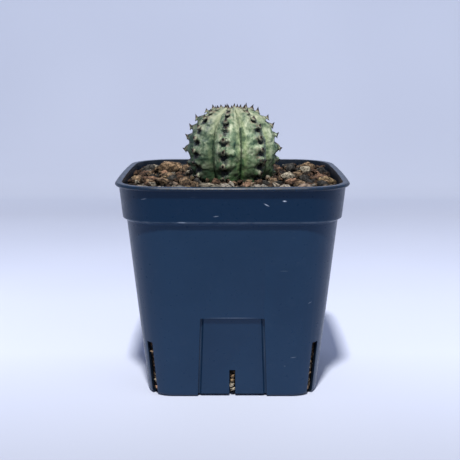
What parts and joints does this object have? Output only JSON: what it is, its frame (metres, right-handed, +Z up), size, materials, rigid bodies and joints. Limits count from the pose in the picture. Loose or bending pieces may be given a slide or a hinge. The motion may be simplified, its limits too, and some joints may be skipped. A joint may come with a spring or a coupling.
{
  "type": "potted euphorbia",
  "caption": "Young ribbed globe succulent with toothed crests, growing in crushed-rock grit in a tapered square plastic nursery pot with drain slits.",
  "frame": {"origin": "on the ground under the middle of the pot, at the bottom of its corner feet", "axes": "+Z up through the plant, +X to the right and -Y to the front of the pot"},
  "size_m": [0.09, 0.09, 0.1113],
  "materials": {
    "pot_plastic": "satin moulded plastic, dark slate blue, lightly scuffed",
    "grit": "packed fine grit",
    "plant_skin": "waxy grey-green skin, mottled, with dark tooth tips",
    "stone_tan": "rough crushed rock",
    "stone_gold": "rough crushed rock",
    "stone_pale": "rough pumice",
    "stone_salmon": "rough fired-clay rock",
    "stone_grey": "rough lava rock",
    "stone_brown": "rough lava rock"
  },
  "bodies": {
    "root": {"pot": "pot_plastic", "grit_bed": "grit", "euphorbia_stem": "plant_skin", "stone_left_chunk": "stone_tan", "stone_gold_block": "stone_gold", "stone_pale_slab": "stone_pale", "stone_salmon": "stone_salmon", "stone_rear_right": "stone_tan", "stone_grey_right": "stone_grey", "stone_grey_left": "stone_grey", "stone_grey_front": "stone_grey", "stone_brown_left": "stone_brown", "stone_brown_front": "stone_brown", "stone_01": "stone_tan", "stone_02": "stone_grey", "stone_03": "stone_grey", "stone_04": "stone_grey", "stone_05": "stone_salmon", "stone_06": "stone_pale", "stone_07": "stone_salmon", "stone_08": "stone_salmon", "stone_09": "stone_tan", "stone_10": "stone_brown", "stone_11": "stone_brown", "stone_12": "stone_brown", "stone_13": "stone_pale", "stone_14": "stone_grey", "stone_15": "stone_salmon", "stone_16": "stone_grey", "stone_17": "stone_pale", "stone_18": "stone_brown", "stone_19": "stone_tan", "stone_20": "stone_brown", "stone_21": "stone_grey", "stone_22": "stone_brown", "stone_23": "stone_grey", "stone_24": "stone_grey", "stone_25": "stone_tan", "stone_26": "stone_pale", "stone_27": "stone_grey", "stone_28": "stone_pale", "stone_29": "stone_tan", "stone_30": "stone_brown", "stone_31": "stone_salmon", "stone_32": "stone_tan", "stone_33": "stone_salmon", "stone_34": "stone_brown", "stone_35": "stone_grey", "stone_36": "stone_tan", "stone_37": "stone_tan", "stone_38": "stone_brown", "stone_39": "stone_tan", "stone_40": "stone_tan", "stone_41": "stone_tan", "stone_42": "stone_brown", "stone_43": "stone_pale", "stone_44": "stone_grey"}
  },
  "joints": []
}
